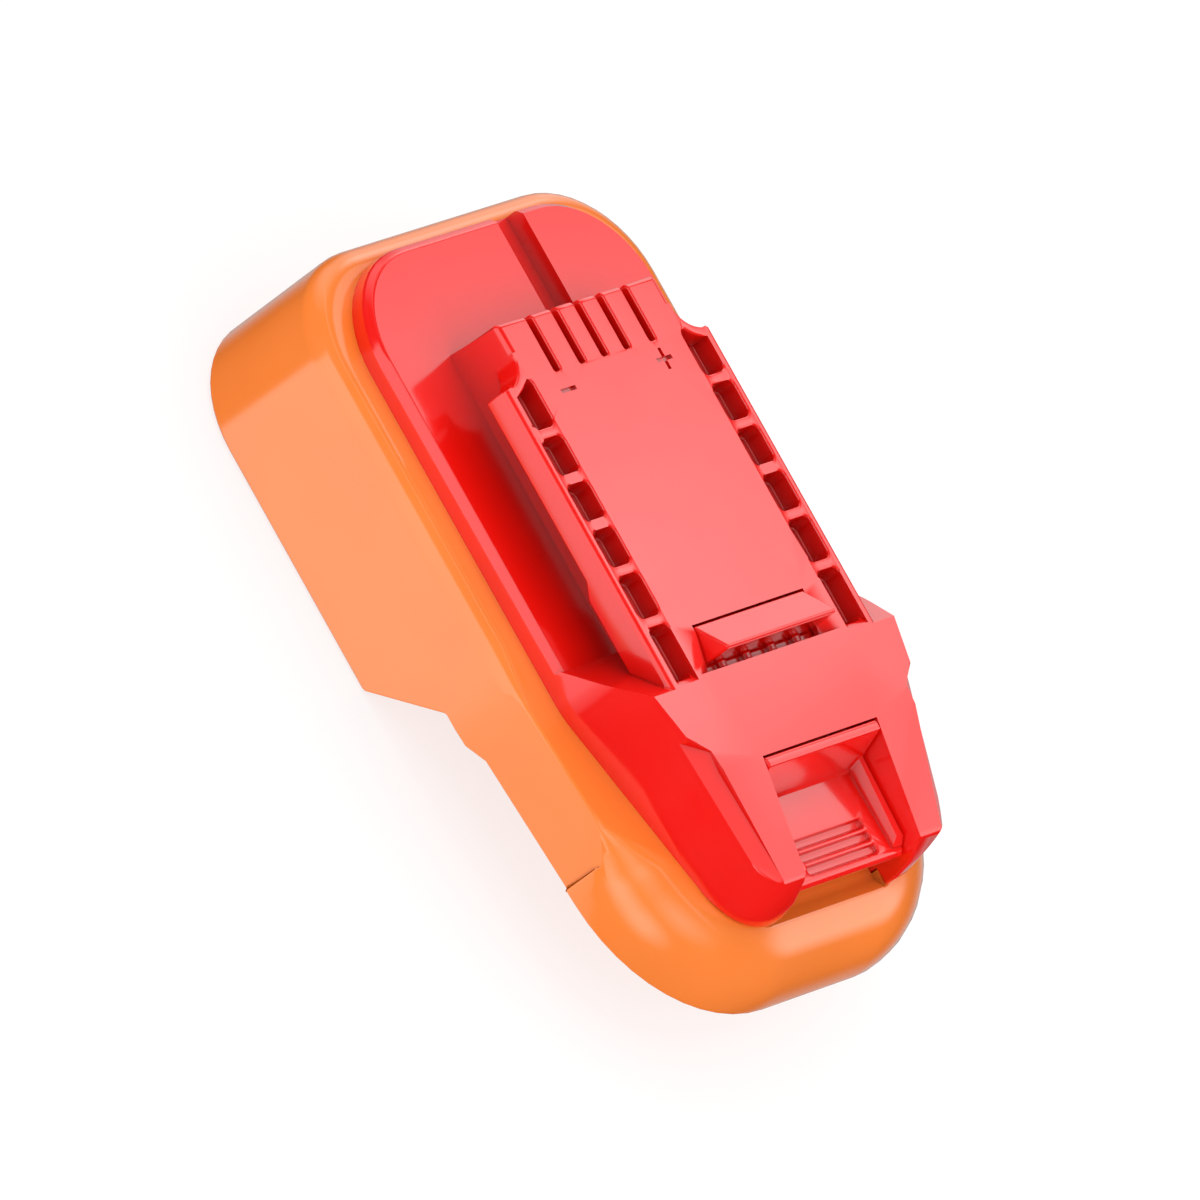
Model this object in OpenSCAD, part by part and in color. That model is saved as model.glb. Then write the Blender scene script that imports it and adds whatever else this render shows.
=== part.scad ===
// Tool battery adapter: a rail cover with a sprung latch on top of a battery receiver.
// X runs across, +Y points to the contact end and +Z points up.
// The origin is the middle of the base. Places along Y are given behind the plate's front edge.

/* [Lower housing] */
// Length of the lower housing
body_l = 126.2; // [120:0.1:140]
// Width of the lower housing
body_w = 78.8; // [76:0.1:90]
// Height of the rim on which the cover sits
rim_z = 25.5; // [25:0.1:32]
// Plan radius of the front corners
front_corner_r = 17.6; // [14:0.1:22]
// Width of the lower housing between its rear corners
rear_w = 74.2; // [72:0.1:76]
// Plan radius of the rear corners
rear_corner_r = 26; // [20:0.5:28]
// Rounding of the rim at the front and along the sides
rim_round = 3.4; // [1.5:0.1:4]
// Rounding of the rim above the side panels
panel_round = 0.8; // [0.4:0.1:1.2]
// Rounding of the rim round the rear end
nose_round = 10.6; // [7:0.1:11.2]
// Length over which the rim's rounding changes behind the side panels
nose_blend_l = 12; // [8:0.5:16]
// Length over which it changes in front of the side panels
panel_blend_l = 5; // [3:0.5:8]
// Small break of the bottom edge
foot_break = 0.8; // [0.3:0.1:1.5]
// Thickness of the outer walls
wall_t = 2.6; // [2:0.1:3]
// Length of the deep front part along the base
deep_l = 57.9; // [54:0.1:64]
// Length of the slope behind the deep part
slope_l = 10.5; // [6:0.1:14]
// Height of the short flat behind the slope
step_z = 12; // [10:0.1:13]
// Length of that short flat
step_l = 5.5; // [3:0.1:8]
// Length of the second, small slope
small_slope_l = 3.6; // [2:0.1:5]
// Height of the underside of the shallow rear part
roof_z = 13.7; // [13.2:0.1:15]
// Thickness of the receiver's roof
roof_t = 2.5; // [2:0.1:3]
// Place of the crease where the side panel starts
panel_back = 49; // [45:0.5:55]
// Length of the side panel
panel_l = 28.6; // [24:0.1:32]
// Depth of the side panel below the housing's side at its rear end
panel_d = 0.35; // [0.2:0.05:0.8]
// Radius of the side panel's upper rear corner
panel_r = 2; // [1:0.5:9]

/* [Battery receiver] */
// Width between the slot walls
slot_w = 51.2; // [49:0.1:54]
// Width of the mouth between the lips
mouth_w = 40.4; // [39:0.1:42]
// Thickness of the lips
lip_t = 4.4; // [3.5:0.1:5.5]
// Thickness of the wall beside the slot
slot_wall_t = 2.6; // [2:0.1:3]
// Distance from the housing's front to the receiver's end wall
receiver_setback = 6; // [5:0.1:8]
// Number of cores in each side wall
core_count = 3; // [2:1:4]
// Thickness of the ribs between the cores
core_rib_t = 2; // [1.5:0.1:3]

/* [Cover flange] */
// Width of the flange at its foot
flange_w = 65.6; // [64:0.1:68]
// Distance from the housing's front to the flange
flange_setback = 3.4; // [3:0.1:5]
// Height of the flange from the rim to the platform
flange_t = 3.6; // [3.2:0.1:5]
// Chamfer round the platform's edge
flange_chamfer = 1; // [0.5:0.1:1.4]
// Radius of the flange's front corners
flange_front_r = 16.4; // [12:0.1:20]
// Place where the flange starts to narrow
flange_knee_back = 54; // [50:0.5:60]
// Place of the flange's rear end
flange_rear_back = 95.3; // [93:0.1:98]
// Width of the flange at the ends of its rear corners
flange_rear_w = 49; // [46:0.1:51]
// Radius of the flange's rear corners
flange_rear_r = 10; // [7:0.1:12]
// Width of the rim ledge under the flange
seat_w = 2.6; // [2:0.1:3.4]
// Depth of the spigot that goes down inside the rim
spigot_h = 3.4; // [2:0.1:5]
// Thickness of the platform and of the top plate
skin_t = 2.5; // [2:0.1:3]
// Distance from the middle to the key groove's near side
groove_x = 6.2; // [4:0.1:8]
// Width of the key groove
groove_w = 6.1; // [4:0.1:8]
// Depth of the key groove
groove_d = 3.2; // [2:0.1:4.5]
// Thickness of the trough round the key groove
trough_t = 1.4; // [1:0.1:2]

/* [Contact block and rails] */
// Distance from the housing's front to the plate's front edge
plate_setback = 22; // [20:0.1:25]
// Height of the plate above the platform
block_h = 10.4; // [9.5:0.1:12]
// Width of the block's neck
neck_w = 38; // [36:0.1:40]
// Thickness of the neck's walls
neck_wall_t = 2.5; // [2:0.1:3]
// Width over the rails
rail_w = 49.6; // [48:0.1:52]
// Place where the rails start to leave the neck
rail_back = 4.9; // [4:0.1:7]
// Radius of the rails' hollow front ends
rail_end_r = 5; // [3:0.1:5.5]
// Thickness of the rails at the front
rail_t = 4.3; // [3.8:0.1:5]
// Added thickness of the rails towards the rear
rail_added_t = 1.3; // [0.5:0.1:1.8]
// Place where the rails thicken
rail_step_back = 40; // [36:0.1:46]
// Length of the chamfer where the rails thicken
rail_step_l = 2.5; // [1:0.1:4]
// Rounding of the top edges
edge_round = 0.9; // [0.4:0.1:1.2]
// Width of the pockets in the rails
pocket_w = 5; // [4:0.1:5.4]
// Wall left outside the pockets
pocket_edge = 1.7; // [1.3:0.1:2.2]
// Floor left under the pockets
pocket_floor = 0.8; // [0.6:0.1:1.2]
// Place of the first pocket
pocket_back = 11; // [10:0.1:12]
// Spacing of the pockets
pocket_pitch = 7.72; // [7.4:0.02:7.8]
// Length of the ordinary pockets
pocket_l = 6.1; // [5:0.1:6.4]
// Length of the fifth pocket
pocket_five_l = 7.1; // [6:0.1:7.2]
// Length of the last pocket
pocket_last_l = 8.7; // [7.5:0.1:9]
// Corner radius of the pockets
pocket_r = 1.2; // [0.4:0.1:1.6]
// Length that the first pocket gains beside the rail's rounded end
pocket_lead = 1.8; // [0.5:0.1:2]
// Wall between the first pocket and the rail's rounded end
pocket_end_wall = 1.6; // [1.2:0.1:2]
// Width of the contact slots
contact_slot_w = 1.44; // [1.2:0.02:2]
// Length of the contact slots
contact_slot_l = 9.5; // [8:0.1:10.5]
// Depth of the contact slots
contact_slot_d = 8.4; // [7:0.1:9]
// Distance of the power slots from the middle
power_x = 11.5; // [10:0.1:12.5]
// Distance of the outer signal slots from the middle
signal_x = 5.4; // [4.5:0.1:6.5]

/* [Shoulder and legs] */
// Place of the foot of the ramps that end the rail channels
ramp_back = 50; // [47:0.1:52]
// Place of the top of those ramps
ramp_top_back = 60.6; // [60:0.1:62]
// Inward lean of the shoulder's sides over the block's height
shoulder_lean = 2.2; // [1:0.1:3]
// Place of the break where the legs start to slope
break_back = 74.2; // [73:0.1:76]
// Fall of the legs from the break to their ends
leg_fall = 3.6; // [2:0.1:5]
// Place of the legs' upper rear ends
leg_end_back = 91.6; // [90:0.1:93]
// Width of the slot between the legs
leg_slot_w = 27.8; // [26:0.1:29]
// Width over the legs at the break
leg_w = 46.8; // [45:0.1:48]
// Width over the legs at their ends
leg_end_w = 38.6; // [37:0.1:41]
// Place of the step beside the legs
leg_step_back = 71; // [70:0.1:72]
// Depth of that step
leg_step = 0.2; // [0:0.1:1.8]
// Outward fall of the shelf beside the legs in degrees
shelf_fall = 28; // [3:0.5:32]

/* [Latch] */
// Place of the latch window's front edge
window_back = 52.25; // [51.8:0.05:53]
// Length of the latch window
window_l = 7.45; // [7.2:0.05:8]
// Width of the latch window
window_w = 27; // [25:0.1:28]
// Running gap round the latch
latch_gap = 0.3; // [0.2:0.05:0.4]
// Height of the wedge above the plate
wedge_h = 3.9; // [3:0.1:4.5]
// Length of the wedge's slope
wedge_l = 5.6; // [5:0.1:6]
// Thickness of the bridge between wedge and thumb cup
bridge_t = 3; // [2.5:0.1:3.5]
// Width of the bridge
bridge_w = 31; // [29:0.1:32]
// Travel of the latch
latch_travel = 4.2; // [3:0.1:4.6]
// Thickness of the thumb cup's front bar
bar_t = 1.7; // [1.4:0.1:2.2]
// Width of the thumb cup's floor at its rear
cup_floor_w = 19.6; // [18:0.1:21]
// Width of the thumb cup's floor at its front
cup_front_w = 14.4; // [12:0.1:18]
// Depth of the thumb cup's floor below the plate at its front
cup_depth = 7.7; // [7:0.1:9]
// Rise of the thumb cup's floor towards its rear lip
cup_rise = 0.2; // [0:0.1:1]
// Place of the rear lip
cup_rear_back = 93.3; // [92:0.1:94]
// Thickness of the thumb cup's floor
cup_floor_t = 1.8; // [1.4:0.1:2.2]
// Depth of the thumb cup's side walls below the plate
cup_side_drop = 5.3; // [4:0.1:6]
// Number of grip slots
grip_count = 3; // [2:1:4]
// Spacing of the grip slots
grip_pitch = 2.15; // [1.8:0.05:3]
// Width of a grip slot
grip_w = 1.4; // [0.8:0.1:1.7]
// Depth of a grip slot
grip_d = 0.7; // [0.3:0.1:1]
// Distance of the springs from the middle
spring_x = 9; // [8:0.1:10]
// Place of the springs
spring_back = 66; // [64:0.1:69]
// Outer diameter of the springs
spring_d = 7; // [6:0.1:8]
// Diameter of the spring wire
wire_d = 0.9; // [0.7:0.05:1.1]
// Number of spring turns
spring_turns = 5; // [4:1:6]

/* [Electrics] */
// Width of the circuit board
board_w = 36; // [34:0.5:40]
// Length of the circuit board
board_l = 38; // [36:0.5:38.5]
// Thickness of the circuit board
board_t = 1.6; // [1:0.1:2]
// Height of the posts under the board
board_post_h = 3.8; // [3:0.1:4.5]
// Place of the board's front edge
board_back = 8; // [7.5:0.1:9]
// Thickness of the contact metal
metal_t = 0.8; // [0.6:0.05:1]
// Width of the power strips
strip_w = 5; // [4:0.1:6]
// Shank diameter of the housing screws
screw_d = 3; // [2.5:0.1:3.5]
// Shank diameter of the small screws
small_screw_d = 2.2; // [2:0.1:2.6]
// Clearance round screws and between seated pieces
fit_gap = 0.1; // [0.05:0.05:0.2]

/* [Hidden] */
$fn = 48;

// Overshoot of cutting shapes past the faces they open
over = 1;
// Turn of one facet of the outlines' corners in degrees
arc_turn = 7.5;
// Points added along each straight stretch of the lower housing's outline
side_steps = 8;
// Facets of the rim's rounding
round_steps = 7;
// Turn of the outlines where their sides start to narrow has this radius
crease_r = 12;

// Places across and along
half_w = body_w / 2;
front_y = body_l / 2;
plate_y = front_y - plate_setback;
function back(d) = plate_y - d;

// Heights
platform_z = rim_z + flange_t;
plate_z = platform_z + block_h;
plate_under_z = plate_z - skin_t;
platform_under_z = platform_z - skin_t;
floor_z = roof_z + roof_t;
ledge_under_z = rim_z - skin_t;
rail_under_z = plate_z - rail_t;

// Outlines made of corner discs, each [x, y, radius], listed anticlockwise from the front right
body_discs = [
    [half_w - front_corner_r, front_y - front_corner_r, front_corner_r],
    [front_corner_r - half_w, front_y - front_corner_r, front_corner_r],
    [crease_r - half_w, back(panel_back), crease_r],
    [rear_corner_r - rear_w / 2, rear_corner_r - front_y, rear_corner_r],
    [rear_w / 2 - rear_corner_r, rear_corner_r - front_y, rear_corner_r],
    [half_w - crease_r, back(panel_back), crease_r]];
// Inward taper of the side panel, from the discs that the housing's side touches
panel_taper = 180 - abs(edge_normal(body_discs[2], body_discs[3])) + atan(panel_d / panel_l);

// The hollow under the rim follows the body, further in below the rounded rear end
hollow_nose_in = 0.4 * nose_round;
hollow_ins = [0, 0, panel_d, hollow_nose_in, hollow_nose_in, panel_d];
hollow_discs = [for (i = [0 : 5]) body_discs[i] - [0, 0, wall_t + hollow_ins[i]]];

flange_front_y = front_y - flange_setback;
flange_discs = [
    [flange_w / 2 - flange_front_r, flange_front_y - flange_front_r, flange_front_r],
    [flange_front_r - flange_w / 2, flange_front_y - flange_front_r, flange_front_r],
    [crease_r - flange_w / 2, back(flange_knee_back), crease_r],
    [flange_rear_r - flange_rear_w / 2, back(flange_rear_back) + flange_rear_r, flange_rear_r],
    [flange_rear_w / 2 - flange_rear_r, back(flange_rear_back) + flange_rear_r, flange_rear_r],
    [flange_w / 2 - crease_r, back(flange_knee_back), crease_r]];

// Sizes of the cover's small features
spigot_gap = 0.2;
leg_end_round = 1.5;
leg_end_steps = 4;
pocket_ramp_h = 1.4;
pocket_ramp_l = 1;
shelf_start_w = 4.4;
shelf_turn_w = 0.4;

// Latch
bridge_z = plate_under_z - latch_gap - bridge_t;
cup_w = leg_slot_w - 2 * latch_gap;
bar_front_y = back(break_back) - latch_gap / 2;
wedge_w = window_w - 2 * latch_gap;
relief_w = 3.8;
relief_setback = 1.3;
relief_fall = 27;
wedge_front_y = back(window_back) - latch_gap;
ridge_y = wedge_front_y - wedge_l;
wedge_break = 0.4;
wedge_rib_w = 1.8;
wedge_rib_l = 1.2;
wedge_rib_pitch = 6;
wedge_rib_drop = 1.8;
bridge_margin = 1.5;
bar_break = 0.4;
bar_lean = 2.4;
bar_foot = 0.6;
lip_break = 0.8;
cup_wall_top_t = 1.2;
cup_wall_low_t = 2.25;
cup_wall_foot = 0.6;
cup_wall_rear = 1.4;
cup_wall_rear_drop = 0.8;
grip_setback = 1.6;
grip_margin = 1.5;
grip_r = 0.45 * grip_w;
spring_seat_h = 6;
spring_seat_z = floor_z + spring_seat_h;
spring_seat_d = spring_d + 1;
spring_pin_gap = 0.3;
spring_pin_d = spring_d - 2 * (wire_d + spring_pin_gap);
spring_pin_h = 3;
latch_pin_h = 2.4;
spring_end_gap = 0.1;
tray_drop = 1.2;
tray_z = rim_z - tray_drop;
tray_t = 2;
scoop_l = 2.2;
screen_gap = 0.4;
screen_back = spring_back + spring_seat_d / 2 + screen_gap;

// Screws
screw_head_d = 2 * screw_d;
screw_head_h = 2.4;
screw_sink = 0.4;
screw_bite = 6;
screw_front_x = 18.6;
screw_front_back = 2.3;
screw_rear_x = 22.6;
screw_rear_back = 64;
boss_wall = 2.5;
boss_d = screw_d + 2 * boss_wall;
boss_z = floor_z + 2.8;
small_head_d = 2 * small_screw_d;
small_head_h = 1.5;
small_boss_d = small_screw_d + 3.4;
small_bite = 4;
cross_l = 0.64;
cross_w = 0.14;

// Electrics
board_z = floor_z + board_post_h;
board_top_z = board_z + board_t;
board_screw_inset = 3;
board_screw_setback = 17;
board_screw_x = board_w / 2 - board_screw_inset;
board_screw_backs = [board_back + board_screw_setback, board_back + board_l - board_screw_inset];
clip_block_back = 11;
clip_block_l = 8;
clip_block_w = 31;
clip_block_gap = 0.5;
clip_block_top_z = plate_under_z - clip_block_gap;
clip_root_back = clip_block_back + clip_block_l - 2;
clip_leaf_gap = 1;
clip_h = 6;
clip_top_z = plate_z - 3.2;
clip_tip_back = neck_wall_t + 0.3;
clip_tip_l = 2;
clip_pinch = 0.35;
clip_flare = 0.25;
board_r = 1.5;
chip_size = [6, 5, 1.6];
chip_setback = 6;
chip_leg = [1, 0.4, 0.6];
chip_leg_pitch = 1.27;
chip_leg_count = 4;
transistor_size = [6.5, 6.2, 2.3];
transistor_x = 9;
transistor_setback = 10;
capacitor_d = 6.3;
capacitor_h = 7;
capacitor_setback = 17;
blade_ear_w = 45;
blade_ear_l = 5.5;
blade_ear_t = 2.2;
blade_block_w = blade_ear_w - 2 * blade_ear_l;
blade_block_l = 10;
blade_block_back = -3;
blade_block_z = lip_t + 0.6;
blade_end_wall = 1.5;
blade_screw_inset = 2.5;
blade_screw_x = blade_ear_w / 2 - blade_screw_inset;
blade_h = 6;
blade_l = 12;
blade_z = blade_block_z + 1;
blade_tail_l = 4;
blade_signal_x = 4;
strip_rear_back = 10.8;
strip_r = 0.8;
strip_overlap = 0.5;

// Lofts and outlines

// Direction of the outward normal of the straight stretch between two discs
function edge_normal(a, b) =
    let (v = [b.x - a.x, b.y - a.y])
    atan2(v.y, v.x) - acos((a.z - b.z) / norm(v));

// Points [x, y, normal angle] round a chain of discs, with added points on the straight stretches
function disc_path(discs, sides = 0) = [
    for (i = [0 : len(discs) - 1])
        let (
            count = len(discs),
            d = discs[i],
            next = discs[(i + 1) % count],
            a0 = edge_normal(discs[(i + count - 1) % count], d),
            a1 = edge_normal(d, next),
            sweep = (a1 - a0 + 720) % 360,
            steps = ceil(sweep / arc_turn),
            from = [d.x + d.z * cos(a1), d.y + d.z * sin(a1)],
            to = [next.x + next.z * cos(a1), next.y + next.z * sin(a1)]
        )
        each concat(
            [for (k = [0 : steps])
                let (a = a0 + sweep * k / steps)
                [d.x + d.z * cos(a), d.y + d.z * sin(a), a]],
            [for (k = [1 : 1 : sides])
                let (t = k / (sides + 1))
                [from.x + (to.x - from.x) * t, from.y + (to.y - from.y) * t, a1]])];

// The same points moved inwards by a distance
function inset(path, d) = [for (p = path) [p.x - d * cos(p.z), p.y - d * sin(p.z)]];
function ring(path, d, z) = [for (p = inset(path, d)) [p.x, p.y, z]];

// Rounding of the rim: soft along the sides, crisp above the panels and full round the rear end
function smooth(t) = let (c = min(1, max(0, t))) c * c * (3 - 2 * c);
function rim_r(y) =
    let (
        crisp = smooth((back(panel_back - panel_blend_l / 2) - y) / panel_blend_l),
        full = smooth((back(panel_back + panel_l - nose_blend_l / 2) - y) / nose_blend_l)
    )
    rim_round + (panel_round - rim_round) * crisp + (nose_round - panel_round) * full;

// Mean of a ring's points
function middle(ring) =
    let (ones = [for (p = ring) 1])
    ones * ring / len(ring);

// Solid between rings of equal length, each listed anticlockwise from the bottom up
module loft(rings) {
    n = len(rings[0]);
    last = len(rings) - 1;
    low = n * (last + 1);
    sides = [
        for (k = [0 : last - 1], i = [0 : n - 1])
            let (a = k * n + i, d = k * n + (i + 1) % n)
            each [[a, a + n, d + n], [a, d + n, d]]];
    caps = [
        for (i = [0 : n - 1])
            let (j = (i + 1) % n, top = last * n)
            each [[i, j, low], [top + j, top + i, low + 1]]];
    points = concat([for (r = rings) each r], [middle(rings[0]), middle(rings[last])]);
    polyhedron(points = points, faces = concat(sides, caps));
}

// Extrudes a side view, drawn as [y, z], across from x0 to x1
module across(x0, x1) {
    translate([x0, 0, 0])
    rotate([90, 0, 90])
    linear_extrude(x1 - x0)
    children();
}

// Extrudes a front view, drawn as [x, z], along from y0 to y1
module along(y0, y1) {
    translate([0, y1, 0])
    rotate([90, 0, 0])
    linear_extrude(y1 - y0)
    children();
}

module both_sides() {
    children();
    mirror([1, 0, 0])
    children();
}

// Box given by its two corners
module block(low, high) {
    translate(low)
    cube(high - low);
}

module post(x, y, z0, z1, d) {
    translate([x, y, z0])
    cylinder(h = z1 - z0, d = d);
}

// Rectangle with round corners, from its lower left corner
module round_rect(size, r) {
    translate([r, 0])
    square([size.x - 2 * r, size.y]);
    translate([0, r])
    square([size.x, size.y - 2 * r]);
    for (x = [r, size.x - r], y = [r, size.y - r])
        translate([x, y])
        circle(r);
}

module at_housing_screws() {
    for (side = [-1, 1]) {
        translate([side * screw_front_x, back(screw_front_back), 0])
        children();
        translate([side * screw_rear_x, back(screw_rear_back), 0])
        children();
    }
}

module at_board_screws() {
    for (x = [-board_screw_x, board_screw_x], d = board_screw_backs)
        translate([x, back(d), 0])
        children();
}

module at_blade_screws() {
    for (x = [-blade_screw_x, blade_screw_x])
        translate([x, back(blade_block_back) + blade_block_l / 2, 0])
        children();
}

module at_springs() {
    for (x = [-spring_x, spring_x])
        translate([x, back(spring_back), 0])
        children();
}

// Lower housing

module body_outer() {
    path = disc_path(body_discs, side_steps);
    loft(concat(
        [ring(path, foot_break, 0), ring(path, 0, foot_break)],
        [for (k = [0 : round_steps])
            let (a = 90 * k / round_steps)
            [for (p = path)
                let (r = rim_r(p.y), d = r * (1 - cos(a)))
                [p.x - d * cos(p.z), p.y - d * sin(p.z), rim_z - r + r * sin(a)]]]));
}

// What is cut away below the shallow rear part
module underside_step() {
    y0 = front_y - deep_l;
    y1 = y0 - slope_l;
    y2 = y1 - step_l;
    y3 = y2 - small_slope_l;
    across(-half_w - over, half_w + over)
    polygon([
        [y0 + slope_l * over / step_z, -over], [y1, step_z], [y2, step_z], [y3, roof_z],
        [-front_y - over, roof_z], [-front_y - over, -over]]);
}

// Flat side panel, cut deeper towards the rear, with its upper rear corner rounded
module side_panel_cut() {
    translate([half_w, back(panel_back), 0])
    rotate([0, 0, -panel_taper])
    across(0, half_w)
    difference() {
        translate([-panel_l, 0])
        square([panel_l, rim_z + over]);
        translate([-panel_l, rim_z - panel_r])
        difference() {
            square(panel_r);
            translate([panel_r, 0])
            circle(panel_r);
        }
    }
}

module housing_hollow() {
    translate([0, 0, floor_z])
    linear_extrude(ledge_under_z - floor_z)
    polygon(inset(disc_path(hollow_discs), 0));
    translate([0, 0, floor_z])
    linear_extrude(rim_z + over - floor_z)
    polygon(inset(disc_path(flange_discs), seat_w));
}

// Dish behind the thumb cup
module thumb_scoop() {
    y_rear = back(cup_rear_back) - latch_gap;
    across(-leg_slot_w / 2, leg_slot_w / 2)
    polygon([
        [y_rear + seat_w, tray_z], [y_rear, tray_z], [y_rear - scoop_l, rim_z],
        [y_rear - scoop_l, rim_z + over], [y_rear + seat_w, rim_z + over]]);
}

// Tray that closes the shell below the thumb cup
module thumb_tray() {
    block(
        [-leg_slot_w / 2 + fit_gap, back(cup_rear_back), tray_z - tray_t],
        [leg_slot_w / 2 - fit_gap, back(screen_back), tray_z]);
}

module receiver_cut() {
    y0 = front_y - deep_l - slope_l - step_l - small_slope_l;
    y1 = front_y - receiver_setback;
    block([-slot_w / 2, y0, lip_t], [slot_w / 2, y1, roof_z]);
    block([-mouth_w / 2, y0, -over], [mouth_w / 2, y1, lip_t + over]);
}

// Cores that keep the side walls of the receiver thin
module wall_cores() {
    x0 = slot_w / 2 + slot_wall_t;
    x1 = half_w - wall_t;
    y0 = front_y - deep_l + wall_t;
    y1 = front_y - front_corner_r - core_rib_t;
    l = (y1 - y0 - (core_count - 1) * core_rib_t) / core_count;
    for (i = [0 : core_count - 1])
        translate([x0, y0 + i * (l + core_rib_t), -over])
        linear_extrude(roof_z + over)
        round_rect([x1 - x0, l], wall_t / 2);
}

// Screen that hides the springs behind the thumb cup
module screen() {
    block(
        [-leg_slot_w / 2, back(screen_back + wall_t), floor_z - over],
        [leg_slot_w / 2, back(screen_back), bridge_z - latch_travel - fit_gap * 4]);
}

module blade_window() {
    y0 = back(blade_block_back) - fit_gap;
    block(
        [-blade_block_w / 2 - fit_gap, y0, roof_z - over],
        [blade_block_w / 2 + fit_gap, y0 + blade_block_l + 2 * fit_gap, floor_z + over]);
}

module lower_housing() {
    color("#FF7D2D")
    difference() {
        union() {
            difference() {
                body_outer();
                underside_step();
                both_sides()
                side_panel_cut();
                housing_hollow();
                thumb_scoop();
                receiver_cut();
                both_sides()
                wall_cores();
                blade_window();
            }
            at_housing_screws()
            post(0, 0, floor_z - over, boss_z, boss_d);
            at_board_screws()
            post(0, 0, floor_z - over, board_z, small_boss_d);
            at_springs()
            post(0, 0, floor_z - over, spring_seat_z, spring_seat_d);
            at_springs()
            post(0, 0, floor_z, spring_seat_z + spring_pin_h, spring_pin_d);
            at_blade_screws()
            post(0, 0, floor_z - small_bite - over, floor_z - over, small_boss_d);
            screen();
            thumb_tray();
        }
        // The heads go in from below, past the lips
        at_housing_screws()
        post(0, 0, -over, roof_z + screw_sink + screw_head_h, screw_head_d + 4 * fit_gap);
        at_housing_screws()
        post(0, 0, roof_z, boss_z + over, screw_d + 2 * fit_gap);
        at_board_screws()
        post(0, 0, board_z - small_bite - fit_gap, board_z + over, small_screw_d + fit_gap);
        at_blade_screws()
        post(0, 0, floor_z - small_bite - fit_gap, floor_z + over, small_screw_d + fit_gap);
    }
}

// Upper housing

// Flange with a chamfer round its platform
module flange() {
    path = disc_path(flange_discs);
    loft([
        ring(path, 0, rim_z),
        ring(path, 0, platform_z - flange_chamfer),
        ring(path, flange_chamfer, platform_z)]);
}

// Spigot that locates the cover inside the rim
module spigot() {
    translate([0, 0, rim_z - spigot_h])
    linear_extrude(spigot_h + over)
    polygon(inset(disc_path(flange_discs), seat_w + spigot_gap));
}

// Neck and rails as one front view, rounded along the top
module rail_section(w, z0) {
    h = plate_z - z0;
    translate([-w / 2, z0])
    square([w, h - edge_round]);
    translate([edge_round - w / 2, z0])
    square([w - 2 * edge_round, h]);
    for (x = [edge_round - w / 2, w / 2 - edge_round])
        translate([x, plate_z - edge_round])
        circle(edge_round);
}

// Side view of a rail: thin in front, thicker towards the shoulder
module rail_side_view() {
    z1 = plate_z;
    z_thick = rail_under_z - rail_added_t;
    polygon([
        [back(rail_back), rail_under_z], [back(rail_back), z1 + over],
        [back(ramp_top_back), z1 + over], [back(ramp_top_back), z_thick],
        [back(rail_step_back + rail_step_l), z_thick], [back(rail_step_back), rail_under_z]]);
}

module rails() {
    difference() {
        intersection() {
            along(back(ramp_top_back), back(rail_back))
            rail_section(rail_w, platform_z);
            across(-rail_w, rail_w)
            rail_side_view();
        }
        both_sides()
        post(neck_w / 2 + rail_end_r, back(rail_back), platform_z, plate_z + over, 2 * rail_end_r);
    }
}

// Places and lengths of the pockets in one rail
pocket_lengths = [
    pocket_l + pocket_lead, pocket_l, pocket_l, pocket_l, pocket_five_l, pocket_last_l];
pocket_starts = [
    for (i = [0 : 5])
        pocket_back + i * pocket_pitch
            + (i == 0 ? -pocket_lead : i == 5 ? pocket_five_l - pocket_l : 0)];

// Pockets in one rail, the first of them bounded by the rail's rounded end
module rail_pockets() {
    z0 = rail_under_z + pocket_floor;
    difference() {
        for (i = [0 : 5])
            translate([
                rail_w / 2 - pocket_edge - pocket_w,
                back(pocket_starts[i] + pocket_lengths[i]), z0])
            linear_extrude(rail_t + over)
            round_rect([pocket_w, pocket_lengths[i]], pocket_r);
        post(
            neck_w / 2 + rail_end_r, back(rail_back), z0 - over, z0 + rail_t + 2 * over,
            2 * (rail_end_r + pocket_end_wall));
    }
}

// Lead-in ramp at the open rear end of the last pocket
module last_pocket_ramp() {
    y0 = back(pocket_starts[5] + pocket_last_l);
    x0 = rail_w / 2 - pocket_edge - pocket_w;
    across(x0, x0 + pocket_w)
    polygon([
        [y0 + pocket_r, plate_z - pocket_ramp_h], [y0 + pocket_r, plate_z + over],
        [y0 - pocket_ramp_l, plate_z + over], [y0 - pocket_ramp_l, plate_z]]);
}

// Side view of shoulder and legs
module shoulder_side_view() {
    y_end = back(leg_end_back);
    z_end = plate_z - leg_fall - leg_end_round;
    foot_y = back(flange_rear_back) - over;
    last_a = atan((y_end - foot_y) / (z_end - platform_z));
    polygon([
        [back(ramp_back), platform_z - over], [back(ramp_back), platform_z],
        [back(ramp_top_back), plate_z], [back(break_back), plate_z],
        [y_end, plate_z - leg_fall],
        for (k = [1 : leg_end_steps])
            let (a = (90 - last_a) * k / leg_end_steps)
            [y_end - leg_end_round * sin(a), z_end + leg_end_round * cos(a)],
        [foot_y, platform_z - flange_chamfer], [foot_y, platform_z - over]]);
}

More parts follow.
